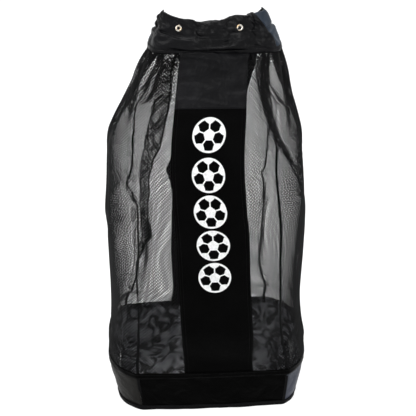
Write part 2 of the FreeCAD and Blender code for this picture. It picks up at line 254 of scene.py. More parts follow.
def smooth(value, low, high):
    t = np.clip((value - low) / (high - low), 0, 1)
    return t * t * (3 - 2 * t)


def turned_back(part):
    """How far a flat pleat's cloth is turned back on itself: not at all, then fully over its middle third."""
    return smooth(part, 0.295, 0.375) - smooth(part, 0.625, 0.705)


# the same for a flat pleat: how far over it is turned, and the share of its length it takes up
pleat_strength = np.linspace(0, 1, 60)
across_pleat = math.pi * turned_back(np.linspace(0, 1, 500))
pleat_taken = np.array([1 - np.cos(strength * across_pleat).mean() for strength in pleat_strength])


def girth_at(height):
    """The boot tapers to its base; from the rim up the tube has one girth."""
    return float(np.interp(height, (0, RIM_HEIGHT, RIM_HEIGHT + 0.05), (1.340, 1.425, GIRTH)))


def set_in(line, along, forward, inward, near):
    """Points a way forward along a closed line, each set in from it, square to its direction there."""
    x, y = (np.interp(forward % along[-1], along, line[:, axis]) for axis in (0, 1))
    tangent_x, tangent_y = (
        np.interp((forward + near) % along[-1], along, line[:, axis])
        - np.interp((forward - near) % along[-1], along, line[:, axis])
        for axis in (0, 1)
    )
    size = np.hypot(tangent_x, tangent_y) + 1e-9
    return x - inward * tangent_y / size, y + inward * tangent_x / size


def folded_row(height, u):
    """The cloth's line at a height: it lies along the outline, its spare girth in pleats and tucks."""
    line, along = outline(*level_at(height))
    girth = girth_at(height)
    step = girth / len(u)
    spare = max(girth - along[-1], 0.0)
    angle = np.zeros_like(u)
    behind = np.zeros_like(u)
    takes = [np.interp(height, heights, taken) for heights, _, taken in PLEATS]
    limit = min(1, 0.9 * spare / (sum(takes) + 1e-9))
    for take, (heights, places, _) in zip(takes, PLEATS):
        span = max(take * limit / 0.60, 0.030)
        part = ((u - np.interp(height, heights, places) + span / 2) % GIRTH) / span
        inside = part < 1
        strength = np.interp(take * limit / span, pleat_taken, pleat_strength)
        turn = np.where(inside, -strength * math.pi * turned_back(np.minimum(part, 1)), 0)
        angle += turn
        sunk = np.cumsum(np.sin(turn)) * step
        slope = np.where(inside, np.clip(part / 0.3, 0, 1), 0)
        behind += np.where(inside, sunk - sunk[-1] * slope, 0)
        spare -= take * limit
    shares = []
    for _, span, kind, _ in TUCKS:
        if kind == "short":
            shares.append(span * smooth(height, 0.62, 0.79))
        elif kind == "side":
            shares.append(span * (0.3 + 0.7 * smooth(height, 0.60, 0.78)))
        else:
            shares.append(span)
    sideways = np.zeros_like(u)
    inward_turn = np.zeros_like(u)
    for share, (place, span, kind, lean) in zip(shares, TUCKS):
        # the tuck wanders a little on its way down
        part = ((u - place - 0.004 * math.sin(height * 23 + place * 60) + span / 2) % GIRTH) / span
        inside = part < 1
        bend = np.interp(spare * share / sum(shares) / span, sine_taken, sine_angle)
        inward_turn[inside] += bend * np.sin(2 * math.pi * part[inside])
        sideways[inside] = lean
    inward = np.r_[0, np.cumsum(np.sin((inward_turn + np.roll(inward_turn, -1)) / 2) * step)]
    inward -= np.linspace(0, inward[-1], len(inward))
    angle += inward_turn
    forward = np.r_[0, np.cumsum(np.cos((angle + np.roll(angle, -1)) / 2) * step)]
    forward *= along[-1] / forward[-1]
    slant = STRIP_SLANT * (1 - smooth(height, 0.0, NECK_HEIGHT))
    inward = np.maximum(inward[:-1], -0.002)
    forward = forward[:-1] + slant + 0.9 * sideways * inward
    x, y = set_in(line, along, forward, inward + behind, 0.004)
    # the boot's front and back are flat between their corner seams, and the net's foot with them
    flat = 1 - smooth(height, RIM_HEIGHT, RIM_HEIGHT + 0.13)
    for left, right in (("front_left", "front_right"), ("back_right", "back_left")):
        start, reach = SEAM_U[left], (SEAM_U[right] - SEAM_U[left]) % GIRTH
        part = ((u - start) % GIRTH) / reach
        ends = [[np.interp(s, u, axis, period=GIRTH) for axis in (x, y)] for s in (start, start + reach)]
        bow = 0.005 * np.sin(np.pi * np.clip(part, 0, 1)) * np.sign(ends[0][1])
        within = part <= 1
        x = np.where(within, x + flat * (ends[0][0] + (ends[1][0] - ends[0][0]) * part - x), x)
        y = np.where(within, y + flat * (ends[0][1] + (ends[1][1] - ends[0][1]) * part + bow - y), y)
    return np.column_stack([x, y, np.full(len(x), height)])


# heights of the rows: evenly spaced along the wall's slope, which is how the tube was cut
fine = np.linspace(0, NECK_HEIGHT, 400)
reach = np.array([outline(*level_at(z))[1][-1] / (2 * math.pi) for z in fine])
climb = np.r_[0, np.cumsum(np.hypot(np.diff(fine), np.diff(reach)))]
TUBE = float(climb[-1])
columns = round(GIRTH / GRID)
rows = round(TUBE / GRID) + 1
cut_u = np.arange(columns) * GIRTH / columns
cut_v = np.linspace(0, TUBE, rows)
row_heights = np.interp(cut_v, climb, fine)
folded = np.array([folded_row(z, cut_u) for z in row_heights])


def new_piece(name, vertices, faces):
    """A mesh object of its own, from lists of points and faces."""
    mesh = bpy.data.meshes.new(name)
    mesh.from_pydata(vertices, [], faces)
    piece = bpy.data.objects.new(name, mesh)
    bpy.context.collection.objects.link(piece)
    return piece


def grid_faces(wide, tall, closed=False):
    """Faces between the points of a grid that is stored row by row; closed joins each row's ends."""
    return [
        (j * wide + i, j * wide + (i + 1) % wide, (j + 1) * wide + (i + 1) % wide, (j + 1) * wide + i)
        for j in range(tall - 1)
        for i in range(wide if closed else wide - 1)
    ]


def let_go(name, folded, girth, tall, firm, frames, stray, even, **settings):
    """Lets a folded tube of cloth settle. It was cut as a plain tube, girth round and tall high, and
    firm says how still each row is held."""
    rows, columns = folded.shape[:2]
    tube = new_piece(name, folded.reshape(-1, 3).tolist(), grid_faces(columns, rows, closed=True))
    tube.shape_key_add(name="folded")
    flat_cut = tube.shape_key_add(name="flat_cut")
    ring = np.arange(columns) / columns * 2 * math.pi
    cut = np.zeros_like(folded)
    cut[..., 0] = girth / (2 * math.pi) * np.sin(ring)
    cut[..., 1] = -girth / (2 * math.pi) * np.cos(ring)
    cut[..., 2] = np.linspace(0, tall, rows)[:, None]
    flat_cut.data.foreach_set("co", cut.astype(np.float32).ravel())
    held = tube.vertex_groups.new(name="held")
    for j in range(rows):
        if firm[j] > 0:
            held.add(range(j * columns, (j + 1) * columns), float(firm[j]), "REPLACE")
    drape = tube.modifiers.new("drape", "CLOTH")
    drape.settings.rest_shape_key = flat_cut
    drape.settings.vertex_group_mass = "held"
    for setting, value in settings.items():
        setattr(drape.settings, setting, value)
    drape.settings.effector_weights.gravity = 0.15
    drape.collision_settings.use_collision = False
    for number in range(1, frames + 1):
        bpy.context.scene.frame_set(number)
    settled = tube.evaluated_get(bpy.context.evaluated_depsgraph_get()).data
    draped = np.empty(rows * columns * 3, np.float32)
    settled.vertices.foreach_get("co", draped)
    bpy.context.scene.frame_set(1)
    bpy.data.objects.remove(tube)
    # sewn seams and the cloth's own stiffness even out the smallest creases, and no point
    # strays further than stray from where it was folded, so the bag keeps its size
    moved = draped.reshape(folded.shape).astype(float) - folded
    for _ in range(even):
        moved = 0.5 * moved + 0.25 * (np.roll(moved, 1, axis=1) + np.roll(moved, -1, axis=1))
        moved[1:-1] = 0.5 * moved[1:-1] + 0.25 * (moved[2:] + moved[:-2])
    far = np.linalg.norm(moved, axis=2, keepdims=True)
    return folded + moved * np.minimum(1, stray / np.maximum(far, 1e-9))


def cubic(t):
    """The four weights of a smooth line through points, at a part t between the middle two."""
    return np.stack(
        [
            (-t + 2 * t * t - t**3) / 2,
            (2 - 5 * t * t + 3 * t**3) / 2,
            (t + 4 * t * t - 3 * t**3) / 2,
            (-t * t + t**3) / 2,
        ]
    )


def surface_of(draped, girth, tall):
    """A function that gives points on a draped tube: u round it, v up it, raised by lift off its
    outside."""
    rows, columns = draped.shape[:2]

    def place(u, v):
        a = (u % girth) / girth * columns
        b = np.clip(v / tall, 0, 1) * (rows - 1)
        i, j = np.floor(a).astype(int), np.minimum(np.floor(b).astype(int), rows - 2)
        wa, wb = cubic(a - i), cubic(b - j)
        spot = np.zeros(u.shape + (3,))
        for q in range(4):
            row = np.clip(j + q - 1, 0, rows - 1)
            for p in range(4):
                spot += (wa[p] * wb[q])[..., None] * draped[row, (i + p - 1) % columns]
        return spot

    def at(u, v, lift=0.0):
        u, v = np.broadcast_arrays(np.asarray(u, float), np.asarray(v, float))
        spot = place(u, v)
        if np.any(lift):
            along = place(u + 0.003, v) - place(u - 0.003, v)
            up = place(u, np.minimum(v + 0.003, tall)) - place(u, np.maximum(v - 0.003, 0))
            out = np.cross(along, up)
            out /= np.linalg.norm(out, axis=-1, keepdims=True) + 1e-12
            spot = spot + out * np.broadcast_to(lift, u.shape)[..., None]
        return spot

    return at


firm = 1 - smooth(row_heights, RIM_HEIGHT * 0.75, RIM_HEIGHT + 0.03)
firm[-2:] = 1
draped = let_go(
    "tube",
    folded,
    GIRTH,
    TUBE,
    firm,
    frames=12,
    stray=0.009,
    even=5,
    quality=6,
    mass=0.12,
    tension_stiffness=12,
    compression_stiffness=8,
    shear_stiffness=3,
    bending_stiffness=0.08,
    air_damping=4,
    use_pressure=True,
    uniform_pressure_force=0.12,
)
cloth_at = surface_of(draped, GIRTH, TUBE)


def v_at(height):
    """How far up the cut tube a height is."""
    return float(np.interp(height, fine, climb))


RIM_V = v_at(RIM_HEIGHT)

# ---- Net panels ----------------------------------------------------------------
# Black polyester net with diamond holes, knitted in one layer. Two families of
# strands cross at each knot; each panel is one piece from the boot's rim to the collar.

# Between neighbouring strands, square to them. Real ones are nearer 4 mm apart, which is
# too fine to show, so both the holes and the strands are drawn a little larger.
STRAND_PITCH = 0.0052
STRAND_THICK = 0.00089  # from a strand's middle to its edges
STRAND_LIFT = 0.00018  # one family lies this far outside the cloth's middle and the other inside


def strand_tubes(lines, thick):
    """Closed three-sided tubes along lines of points on the cloth: vertices and faces."""
    vertices, faces = [], []
    count = 0
    for points, out in lines:
        ahead = np.gradient(points, axis=0)
        ahead /= np.linalg.norm(ahead, axis=1, keepdims=True) + 1e-12
        side = np.cross(ahead, out)
        side /= np.linalg.norm(side, axis=1, keepdims=True) + 1e-12
        up = np.cross(side, ahead)
        ring = [side * math.cos(a) + up * math.sin(a) for a in (-math.pi / 6, math.pi / 2, 7 * math.pi / 6)]
        body = np.stack([points + thick * r for r in ring], axis=1)
        n = len(points)
        vertices.append(body.reshape(-1, 3))
        start = count + 3 * np.arange(n - 1)
        for a in range(3):
            b = (a + 1) % 3
            faces.append(np.column_stack([start + a, start + b, start + 3 + b, start + 3 + a]))
        count += 3 * n
        first, last = count - 3 * n, count - 3
        faces.append(np.array([[first + 2, first + 1, first, first]]))
        faces.append(np.array([[last, last + 1, last + 2, last + 2]]))
    return np.vstack(vertices), np.vstack(faces)


def net_panel(name, u_low, u_high, v_low, v_high):
    """Net over a stretch of the tube: strands both ways at 45 degrees, each knot where two cross."""
    half = STRAND_PITCH / math.sqrt(2)  # from one knot's level to the next
    across = np.arange(u_low, u_high + half / 2, half)
    levels = np.arange(v_low, v_high + half / 2, half)
    wide, tall = len(across), len(levels)
    u, v = np.meshgrid(across, levels)
    knots = cloth_at(u, v)
    outward = (cloth_at(u, v, 0.001) - knots) / 0.001
    lines = []
    for family in (1, -1):
        lift = family * STRAND_LIFT
        edge = 0 if family > 0 else wide - 1
        starts = [(i, 0) for i in range(wide)] + [(edge, j) for j in range(1, tall)]
        for i, j in starts:
            if (i + j if family > 0 else i - j) % 2:
                continue
            reach = min(tall - j, wide - i if family > 0 else i + 1)
            if reach < 3:
                continue
            steps = np.arange(reach)
            at = (j + steps, i + family * steps)
            lines.append((knots[at] + lift * outward[at], outward[at]))
    vertices, faces = strand_tubes(lines, STRAND_THICK)
    panel = new_piece(name, vertices.tolist(), [tuple(dict.fromkeys(f)) for f in faces.tolist()])
    panel.data.materials.append(net_yarn)
    return panel


# dyed polyester yarn: matte near-black, its fuzz hides any shine
net_yarn, tree = empty_material("textured_polyester_yarn")
yarn = add(
    tree, "ShaderNodeBsdfPrincipled",
    in_Base_Color=srgb("#0e0e0f"), in_Roughness=0.55, in_Specular_IOR_Level=0.15,
)
add(tree, "ShaderNodeOutputMaterial", [("Surface", yarn.outputs[0])])

NET_LOW = RIM_V - 0.012
NET_HIGH = TUBE
BACK_STRIP = MIDDLE_BACK - 0.020  # the back strip stands a little off the middle
panels = {
    "mesh_front_left": (SEAM_U["front_left"], -STRIP_HALF),
    "mesh_front_right": (STRIP_HALF, SEAM_U["front_right"]),
    "mesh_right": (SEAM_U["front_right"], SEAM_U["back_right"]),
    "mesh_back_right": (SEAM_U["back_right"], BACK_STRIP - STRIP_HALF),
    "mesh_back_left": (BACK_STRIP + STRIP_HALF - GIRTH, SEAM_U["back_left"]),
    "mesh_left": (SEAM_U["back_left"], SEAM_U["front_left"]),
}
for node, (left, right) in panels.items():
    panel = net_panel(node.replace("mesh", "net"), left, right, NET_LOW, NET_HIGH)
    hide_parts(node)
    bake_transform(panel)

# ---- Strips ----------------------------------------------------------------------
# Woven nylon down the front and the back, a long piece and a short one above a cross
# seam. Each long edge is turned under and sewn to the net with two rows of stitches.


def give_wall(piece, thickness, offset=1):
    """Gives a sheet its thickness, on its outside (offset 1) or its inside (-1)."""
    bpy.ops.object.select_all(action="DESELECT")
    bpy.context.view_layer.objects.active = piece
    wall = piece.modifiers.new("wall", "SOLIDIFY")
    wall.thickness = thickness
    wall.offset = offset
    bpy.ops.object.modifier_apply(modifier="wall")


def cloth_patch(name, at, u_low, u_high, v_low, v_high, lift, thick, step=0.005, ring=False):
    """A piece of cloth that follows a draped tube, between two lines round it and two up it. lift may
    be a function of u and v."""
    wide = max(3, round(abs(u_high - u_low) / step) + 1)
    tall = max(3, round(abs(v_high - v_low) / step) + 1)
    across = np.linspace(u_low, u_high, wide, endpoint=not ring)
    u, v = np.meshgrid(across, np.linspace(v_low, v_high, tall))
    points = at(u, v, lift(u, v) if callable(lift) else lift)
    faces = grid_faces(wide, tall, closed=ring)
    patch = new_piece(name, points.reshape(-1, 3).tolist(), faces)
    corners = np.empty(len(patch.data.loops), np.int32)
    patch.data.loops.foreach_get("vertex_index", corners)
    cut = np.column_stack([u.ravel()[corners], v.ravel()[corners]])
    if ring:
        # the last column of faces closes the ring, so its far side is a whole girth on
        closing = np.repeat(np.arange(len(faces)) % wide == wide - 1, 4)
        cut[closing & (cut[:, 0] < u_low + step), 0] += u_high - u_low
    patch.data.uv_layers.new(name="cut").data.foreach_set("uv", cut.astype(np.float32).ravel())
    give_wall(patch, thick)
    patch.data.shade_smooth()
    return patch


def stitches(name, at, rows, lift, pitch=0.0034, length=0.0024, thick=0.00042):
    """Rows of sewn stitches: each row runs between two (u, v) points, and each stitch is a small
    spindle of thread."""
    vertices, faces = [], []
    for (u0, v0), (u1, v1) in rows:
        count = max(1, int(math.hypot(u1 - u0, v1 - v0) / pitch))
        middle = (np.arange(count) + 0.5) / count
        half = length / 2 / math.hypot(u1 - u0, v1 - v0)
        spot = (u0 + (u1 - u0) * middle, v0 + (v1 - v0) * middle)
        raised = lift(*spot) if callable(lift) else lift
        tail = at(u0 + (u1 - u0) * (middle - half), v0 + (v1 - v0) * (middle - half), raised)
        tip = at(u0 + (u1 - u0) * (middle + half), v0 + (v1 - v0) * (middle + half), raised)
        centre = at(*spot, raised)
        above = at(*spot, raised + thick) - centre
        side = np.cross(tip - tail, above)
        side *= thick / (np.linalg.norm(side, axis=1, keepdims=True) + 1e-12)
        spindle = np.stack([tail, centre + side, centre + above, centre - side, centre - above, tip], axis=1)
        start = sum(len(block) for block in vertices)
        vertices.append(spindle.reshape(-1, 3))
        base = start + 6 * np.arange(count)[:, None]
        for a, b in ((1, 2), (2, 3), (3, 4), (4, 1)):
            faces.append(base + (0, b, a))
            faces.append(base + (5, a, b))
    row = new_piece(name, np.vstack(vertices).tolist(), np.vstack(faces).tolist())
    row.data.materials.append(sewing_thread)
    return row


def with_walls(piece):
    """The piece goes with the walls: like the net's, its place is baked into its mesh, and it gets no body.
    """
    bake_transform(piece)


def set_tones(ramp, *tones):
    """Sets the two ends of a colour ramp, each as (place, colour)."""
    for end, (place, colour) in zip(ramp.color_ramp.elements, tones):
        end.position = place
        end.color = colour


def woven(name, colour, rough, thread, crease, gloss):
    """Woven nylon on a piece's own cut: threads both ways, soft creases, and a faint change of shade.
    thread is their spacing, about three times the real one, which is too fine to show."""
    material, tree = empty_material(name)
    cut = add(tree, "ShaderNodeUVMap", uv_map="cut")
    warp, weft = (
        add(
            tree, "ShaderNodeTexWave", [("Vector", cut.outputs[0])], bands_direction=way,
            in_Scale=0.314 / thread, in_Distortion=0.4, in_Detail=1.0, in_Detail_Scale=2.0,
        )
        for way in ("X", "Y")
    )
    both = [(0, warp.outputs["Fac"]), (1, weft.outputs["Fac"])]
    threads = add(tree, "ShaderNodeMath", both, operation="MULTIPLY")
    creases = add(
        tree, "ShaderNodeTexNoise", [("Vector", cut.outputs[0])],
        in_Scale=28.0, in_Detail=4.0, in_Roughness=0.55, in_Distortion=0.7,
    )
    fine_bump = add(
        tree, "ShaderNodeBump", [("Height", threads.outputs[0])], in_Strength=0.25, in_Distance=thread / 3
    )
    bump = add(
        tree, "ShaderNodeBump", [("Height", creases.outputs["Fac"]), ("Normal", fine_bump.outputs[0])],
        in_Strength=crease, in_Distance=0.006,
    )
    wear = add(
        tree, "ShaderNodeTexNoise", [("Vector", cut.outputs[0])],
        in_Scale=9.0, in_Detail=3.0, in_Roughness=0.6,
    )
    dark, light = (srgb(c) for c in colour)
    shade = add(tree, "ShaderNodeValToRGB", [("Fac", wear.outputs["Fac"])])
    set_tones(shade, (0.35, dark), (0.68, light))
    cloth = add(
        tree, "ShaderNodeBsdfPrincipled", [("Base Color", shade.outputs[0]), ("Normal", bump.outputs[0])],
        in_Roughness=rough, in_IOR=1.5, in_Specular_IOR_Level=gloss,
    )
    add(tree, "ShaderNodeOutputMaterial", [("Surface", cloth.outputs[0])])
    return material


# bonded polyester thread, black like the cloth, a little smoother, so the rows just show
sewing_thread, tree = empty_material("bonded_polyester_thread")
thread = add(
    tree, "ShaderNodeBsdfPrincipled",
    in_Base_Color=srgb("#0b0b0c"), in_Roughness=0.45, in_Specular_IOR_Level=0.12,
)
add(tree, "ShaderNodeOutputMaterial", [("Surface", thread.outputs[0])])

# filament nylon, plain weave: a flat deep black below, and above a piece that is a shade
# lighter, whose many creases give it a dull broken sheen
strip_upper_cloth = woven("brushed_nylon_charcoal", ("#040405", "#121214"), 0.4, 0.0011, 1.0, gloss=0.08)
strip_lower_cloth = woven("plain_nylon_black", ("#020202", "#050505"), 0.6, 0.0011, 0.25, gloss=0.02)
STRIP_SEAM_V = v_at(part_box("front_strip_lower")[1][2])


def strip_ripple(u, v):
    """Small crosswise ripples where the gathered neck pulls on the strip. They fade away below the
    cross seam."""
    near = smooth(v, STRIP_SEAM_V - 0.06, STRIP_SEAM_V + 0.03)
    ripple = np.sin(v * 250 + 2.2 * np.sin(u * 30)) + 0.6 * np.sin(v * 160 + 1.7 + 3 * np.sin(u * 21 + 2))
    ripple = ripple + 0.5 * np.abs(np.sin(v * 190 + u * 60 + 2 * np.sin(u * 44)))
    return 0.0012 + 0.0019 * near * ripple


OVERLAP = 0.006  # of the upper piece over the lower one
for face, middle in (("front", 0.0), ("back", BACK_STRIP)):
    edges = (middle - STRIP_HALF, middle + STRIP_HALF)
    for part, low, high in (("lower", NET_LOW, STRIP_SEAM_V), ("upper", STRIP_SEAM_V - OVERLAP, TUBE)):
        node = f"{face}_strip_{part}"
        above = 0.0008 if part == "upper" else 0.0

        def lift(u, v, above=above):
            return strip_ripple(u, v) + above

        strip = cloth_patch(f"{node}_cloth", cloth_at, *edges, low, high, lift, 0.0007)
        strip.data.materials.append(strip_lower_cloth if part == "lower" else strip_upper_cloth)
        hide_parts(node)
        with_walls(strip)
        seams = [edges[0] + 0.003, edges[0] + 0.009, edges[1] - 0.003, edges[1] - 0.009]
        sewn_rows = [((seam, low), (seam, high)) for seam in seams]
        if part == "upper":
            sewn_rows += [((edges[0], low + rise), (edges[1], low + rise)) for rise in (0.003, 0.008)]

        def thread_lift(u, v, above=above):
            return strip_ripple(u, v) + above + 0.0009

        sewn = stitches(f"{node}_stitches", cloth_at, sewn_rows, thread_lift)
        with_walls(sewn)

# ---- Printed balls -----------------------------------------------------------------
# White screen print on the lower front strip: a column of plain balls, each a ring
# with a five-sided patch in the middle and five seams running out to the ring.

print_low, print_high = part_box("front_print")
BALL_RADIUS = (print_high[0] - print_low[0]) / 2
BALL_LINE = 0.0042
BALL_PATCH = 0.0135
BALLS = 5
INK_THICK = 0.0002
ball_heights = np.linspace(print_low[2] + BALL_RADIUS, print_high[2] - BALL_RADIUS, BALLS)
ink_shapes = []
for height in ball_heights:
    centre = np.array([0.0, v_at(height)])
    turn = np.linspace(0, 2 * math.pi, 73)
    circle = np.column_stack([np.cos(turn), np.sin(turn)])
    ring = np.stack([circle * r for r in (BALL_RADIUS - BALL_LINE, BALL_RADIUS)])
    ink_shapes.append((centre + ring, False))
    five = np.array([(math.sin(a), math.cos(a)) for a in np.arange(6) * 2 * math.pi / 5])
    sides = np.vstack([np.linspace(five[k], five[k + 1], 7)[:-1] for k in range(5)] + [five[:1]])
    ink_shapes.append((centre + np.stack([sides * r for r in (0.0004, BALL_PATCH / 2, BALL_PATCH)]), True))
    for k in range(5):
        # a seam runs out from each corner of the patch and widens into a dark corner at the ring
        way = five[k]
        across = np.array([-way[1], way[0]])
        out = np.array([BALL_PATCH - 0.001, 0.020, 0.0225, 0.026, 0.029, BALL_RADIUS - BALL_LINE + 0.001])
        half = np.array([0.0013, 0.0013, 0.0016, 0.0068, 0.0105, 0.0085])
        edge = [out[:, None] * way + side * half[:, None] * across for side in (-1, 0, 1)]
        ink_shapes.append((centre + np.stack(edge), True))
vertices, faces = [], []
for grid, flip in ink_shapes:
    start = sum(len(block) for block in vertices)
    tall, wide = grid.shape[:2]
    u, v = grid[..., 0], grid[..., 1]
    vertices.append(cloth_at(u, v, strip_ripple(u, v) + 0.0008).reshape(-1, 3))
    for j in range(tall - 1):
        for i in range(wide - 1):
            quad = (j * wide + i, j * wide + i + 1, (j + 1) * wide + i + 1, (j + 1) * wide + i)
            faces.append([start + k for k in (quad if flip else quad[::-1])])
printed = new_piece("printed_balls", np.vstack(vertices).tolist(), faces)
give_wall(printed, INK_THICK)
# screen-print ink: an off-white matte film, a little mottled by the weave under it
ink, tree = empty_material("screen_print_ink")
spots = add(tree, "ShaderNodeTexCoord")
mottle = add(tree, "ShaderNodeTexNoise", [("Vector", spots.outputs["Object"])], in_Scale=160.0, in_Detail=3.0)
tone = add(tree, "ShaderNodeValToRGB", [("Fac", mottle.outputs["Fac"])])
set_tones(tone, (0.3, srgb("#dcdcda")), (0.6, srgb("#f4f4f2")))
film_look = add(tree, "ShaderNodeBsdfPrincipled", [("Base Color", tone.outputs[0])], in_Roughness=0.5)
add(tree, "ShaderNodeOutputMaterial", [("Surface", film_look.outputs[0])])
printed.data.materials.append(ink)
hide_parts("front_print")
with_walls(printed)

# ---- Corner tapes --------------------------------------------------------------------
# A narrow woven tape is sewn over each corner seam of the net, and a shorter one
# over each corner seam of the boot, both with a row of stitches down each edge.

# polyester twill tape: dense and dull, a flat black line
tape_cloth = woven("twill_tape_black", ("#060607", "#0b0b0c"), 0.65, 0.0012, 0.15, gloss=0.05)
TAPE = 0.007
TAPE_THICK = 0.0006
for corner, seam in SEAM_U.items():
    for part, low, high, lift in (
        ("wall", RIM_V - 0.006, TUBE, 0.0008),
        ("boot", 0.012, RIM_V - 0.010, 0.0024),
    ):
        sides = (seam - TAPE / 2, seam + TAPE / 2)
        tape = cloth_patch(f"{part}_tape_{corner}_web", cloth_at, *sides, low, high, lift, TAPE_THICK)
        tape.data.materials.append(tape_cloth)
        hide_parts(f"{part}_tape_{corner}")
        lines = [seam + side * (TAPE / 2 - 0.0012) for side in (-1, 1)]
        edges = [((line, low), (line, high)) for line in lines]
        sewn = stitches(f"{part}_tape_{corner}_stitches", cloth_at, edges, lift + 0.0007)
        for piece in (tape, sewn):
            if part == "wall":
                with_walls(piece)
            else:
                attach(piece, "bag")

# ---- Boot ------------------------------------------------------------------------------
# Four panels of coated nylon keep the bottom of the bag off wet ground. The net is
# sewn inside them, and their top edge is turned down into a stitched hem.

# coated nylon, cloth side out: the front and the back are flat black. The left side's warm charcoal and the
# right side's cool slate are painted light: copies of the black cloth with a painted warm light and a painted
# cool light
boot_cloth = woven("pu_coated_nylon_black", ("#010101", "#030303"), 0.38, 0.0012, 0.8, gloss=0.02)
painted_light_side_cloths = {
    "left": woven("pu_coated_nylon_painted_warm_light", ("#131210", "#1c1b19"), 0.45, 0.0012, 0.6, gloss=0.08),
    "right": woven("pu_coated_nylon_painted_cool_light", ("#2b2f38", "#3a3e4b"), 0.45, 0.0012, 0.8, gloss=0.17),
}
# the coated face, crumpled: its colour follows the noise of its bumps, painted highlights of light grey on
# the ridges and painted shade, black, in the hollows
coated_face, tree = empty_material("pu_coating_painted_ridge_light")
spots = add(tree, "ShaderNodeTexCoord")
creases = add(
    tree, "ShaderNodeTexNoise", [("Vector", spots.outputs["Object"])],
    in_Scale=26.0, in_Detail=5.0, in_Roughness=0.6, in_Distortion=1.6,
)
shade = add(tree, "ShaderNodeValToRGB", [("Fac", creases.outputs["Fac"])])
# painted shade in the hollows, painted highlight on the ridges
set_tones(shade, (0.44, srgb("#0a0a0b")), (0.60, srgb("#b4b5ba")))
bump = add(tree, "ShaderNodeBump", [("Height", creases.outputs["Fac"])], in_Strength=0.9, in_Distance=0.008)
coating = add(
    tree, "ShaderNodeBsdfPrincipled", [("Base Color", shade.outputs[0]), ("Normal", bump.outputs[0])],
    in_Roughness=0.24, in_Specular_IOR_Level=0.9,
)
add(tree, "ShaderNodeOutputMaterial", [("Surface", coating.outputs[0])])


def boot_dents(u, v):
    """The coated cloth stands a little proud of the net, creased and slightly dented all over."""
    soft = np.sin(u * 31 + 2.2 * np.sin(v * 35)) * np.sin(v * 52 + 1.3 * np.sin(u * 17))
    sharp = np.abs(np.sin(u * 47 + v * 60 + 1.5 * np.sin(v * 70)))
    return 0.0012 + 0.0012 * soft - 0.0010 * sharp**6 + 0.0008


BOOT_SIDES = {
    "front": (SEAM_U["front_left"], SEAM_U["front_right"]),
    "right": (SEAM_U["front_right"], SEAM_U["back_right"]),
    "back": (SEAM_U["back_right"], SEAM_U["back_left"] + GIRTH),
    "left": (SEAM_U["back_left"], SEAM_U["front_left"]),
}
BOOT_LOW, BOOT_HIGH = 0.0016, RIM_V - 0.001
for side, (left, right) in BOOT_SIDES.items():
    panel = cloth_patch(f"boot_{side}_cloth", cloth_at, left, right, BOOT_LOW, BOOT_HIGH, boot_dents, 0.0008)
    # the two sides get the copies with painted light, the front and the back the plain black cloth
    panel.data.materials.append(painted_light_side_cloths.get(side, boot_cloth))
    panel.data.materials.append(coated_face)
    # the coating is on the inner face
    normals = np.empty(len(panel.data.polygons) * 3)
    panel.data.polygons.foreach_get("normal", normals)
    places = np.empty(len(panel.data.polygons) * 3)
    panel.data.polygons.foreach_get("center", places)
    inner = (normals.reshape(-1, 3)[:, :2] * places.reshape(-1, 3)[:, :2]).sum(axis=1) < 0
    panel.data.polygons.foreach_set("material_index", inner.astype(np.int32))
    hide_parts(f"boot_{side}")
    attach(panel, "bag")


def over_boot(u, v):
    return np.maximum(boot_dents(u, v), 0.0012) + 0.0011


HEM_LOW, HEM_HIGH = RIM_V - 0.014, RIM_V + 0.001
hem = cloth_patch(
    "rim_hem_cloth", cloth_at, 0, GIRTH, HEM_LOW, HEM_HIGH, over_boot, 0.0009, 0.004, ring=True
)
hem.data.materials.append(boot_cloth)
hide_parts("rim_hem")
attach(hem, "bag")


def hem_thread(u, v):
    return over_boot(u, v) + 0.0010


hem_rows = [((0, RIM_V - down), (GIRTH, RIM_V - down)) for down in (0.003, 0.011)]
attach(stitches("rim_hem_stitches", cloth_at, hem_rows, hem_thread), "bag")

BINDING_LOW, BINDING_HIGH = 0.0014, 0.0125
binding = cloth_patch(
    "base_binding_tape", cloth_at, 0, GIRTH, BINDING_LOW, BINDING_HIGH, over_boot, 0.0010, 0.004, ring=True
)
binding.data.materials.append(tape_cloth)
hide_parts("base_binding")
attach(binding, "bag")
binding_rows = [((0, 0.009), (GIRTH, 0.009))]
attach(stitches("base_binding_stitches", cloth_at, binding_rows, hem_thread), "bag")

# ---- Base --------------------------------------------------------------------------------
# One coated panel that lies on the ground. Nothing is in the bag, so the panel has
# crumpled: it touches the ground in places and stands up in soft ridges between.

ROUND = 160  # points round the panel
edge_u = np.arange(ROUND) / ROUND * GIRTH
edge = cloth_at(edge_u, np.full(ROUND, 0.002))[:, :2]
middle = edge.mean(axis=0)
shares = np.linspace(0.02, 1.0, 44)
points = middle + (edge - middle)[None] * shares[:, None, None]
x, y = points[..., 0], points[..., 1]
ridge = 1 - np.abs(np.sin(x * 27 + 2.4 * np.sin(y * 16 + 0.6)) * np.cos(y * 21 + 1.9 * np.sin(x * 19 + 1.0)))
swell = 0.5 + 0.5 * np.sin(x * 13 + 1.2) * np.sin(y * 15 + 0.4)
crumple = (0.026 * ridge**3 + 0.014 * swell) * smooth(1 - shares, 0.02, 0.25)[:, None]
z = 0.0021 + crumple
